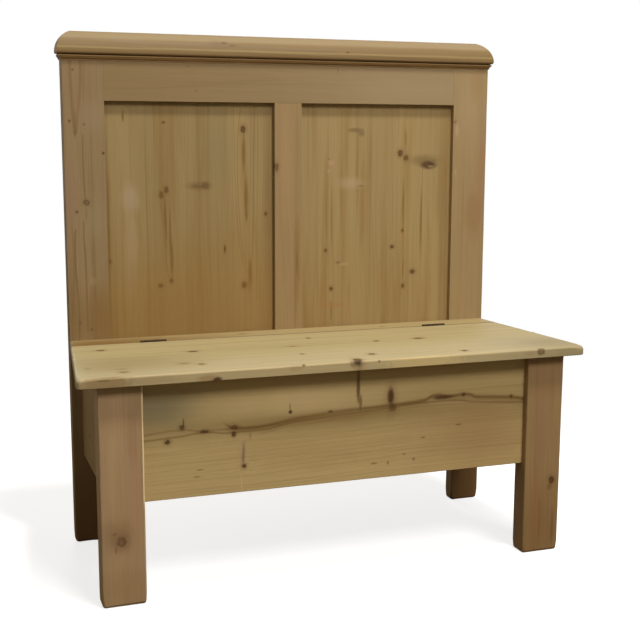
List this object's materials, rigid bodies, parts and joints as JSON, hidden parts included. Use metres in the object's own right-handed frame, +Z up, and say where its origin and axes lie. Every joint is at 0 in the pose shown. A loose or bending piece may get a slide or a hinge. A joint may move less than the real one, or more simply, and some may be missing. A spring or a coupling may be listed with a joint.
{
  "type": "settle bench",
  "caption": "Panelled pine settle bench: a two-panel framed back with a moulded cornice over a storage box on square legs, with a hinged seat lid.",
  "frame": {"origin": "on the floor, in the middle of the bench's width and depth", "axes": "+Z up, +Y from the seat's front edge to the panelled back, +X along the seat"},
  "size_m": [1.0794, 0.435, 1.1203],
  "materials": {
    "leg_pine": "waxed",
    "frame_pine": "waxed",
    "panel_pine": "waxed",
    "box_pine": "waxed",
    "seat_pine": "waxed",
    "inside_pine": "bare",
    "hinge_steel": "dull",
    "screw_steel": "dull"
  },
  "bodies": {
    "bench": {"back_bottom_rail": "frame_pine", "back_muntin": "frame_pine", "back_panel_left": "panel_pine", "back_panel_right": "panel_pine", "back_stile_left": "frame_pine", "back_stile_right": "frame_pine", "back_top_rail": "frame_pine", "bead_front": "frame_pine", "bead_return_left": "frame_pine", "bead_return_right": "frame_pine", "cornice_front": "frame_pine", "cornice_return_left": "frame_pine", "cornice_return_right": "frame_pine", "floor_board_1": "inside_pine", "floor_board_2": "inside_pine", "floor_board_3": "inside_pine", "floor_board_4": "inside_pine", "floor_board_5": "inside_pine", "floor_board_6": "inside_pine", "floor_ledger_front": "inside_pine", "floor_ledger_rear": "inside_pine", "front_apron": "box_pine", "front_leg_left": "leg_pine", "front_leg_right": "leg_pine", "glue_block_front_left": "inside_pine", "glue_block_front_right": "inside_pine", "glue_block_rear_left": "inside_pine", "glue_block_rear_right": "inside_pine", "hinge_left_fixed_leaf": "hinge_steel", "hinge_left_fixed_leaf_screw_1": "screw_steel", "hinge_left_fixed_leaf_screw_2": "screw_steel", "hinge_left_fixed_leaf_screw_3": "screw_steel", "hinge_left_pin": "hinge_steel", "hinge_right_fixed_leaf": "hinge_steel", "hinge_right_fixed_leaf_screw_1": "screw_steel", "hinge_right_fixed_leaf_screw_2": "screw_steel", "hinge_right_fixed_leaf_screw_3": "screw_steel", "hinge_right_pin": "hinge_steel", "seat_bearer": "inside_pine", "seat_strip": "seat_pine", "side_apron_left": "box_pine", "side_apron_right": "box_pine"},
    "lid": {"batten_screw_left_1": "screw_steel", "batten_screw_left_2": "screw_steel", "batten_screw_right_1": "screw_steel", "batten_screw_right_2": "screw_steel", "hinge_left_lid_leaf": "hinge_steel", "hinge_left_lid_leaf_screw_1": "screw_steel", "hinge_left_lid_leaf_screw_2": "screw_steel", "hinge_left_lid_leaf_screw_3": "screw_steel", "hinge_right_lid_leaf": "hinge_steel", "hinge_right_lid_leaf_screw_1": "screw_steel", "hinge_right_lid_leaf_screw_2": "screw_steel", "hinge_right_lid_leaf_screw_3": "screw_steel", "lid_batten_left": "inside_pine", "lid_batten_right": "inside_pine", "lid_board_front": "seat_pine", "lid_board_rear": "seat_pine"}
  },
  "joints": [
    {"name": "lid_hinge", "type": "hinge", "parent": "bench", "child": "lid", "pos_m": [0, 0.1225, 0.461], "axis": [-1, 0, 0], "range_deg": [0, 100]}
  ]
}
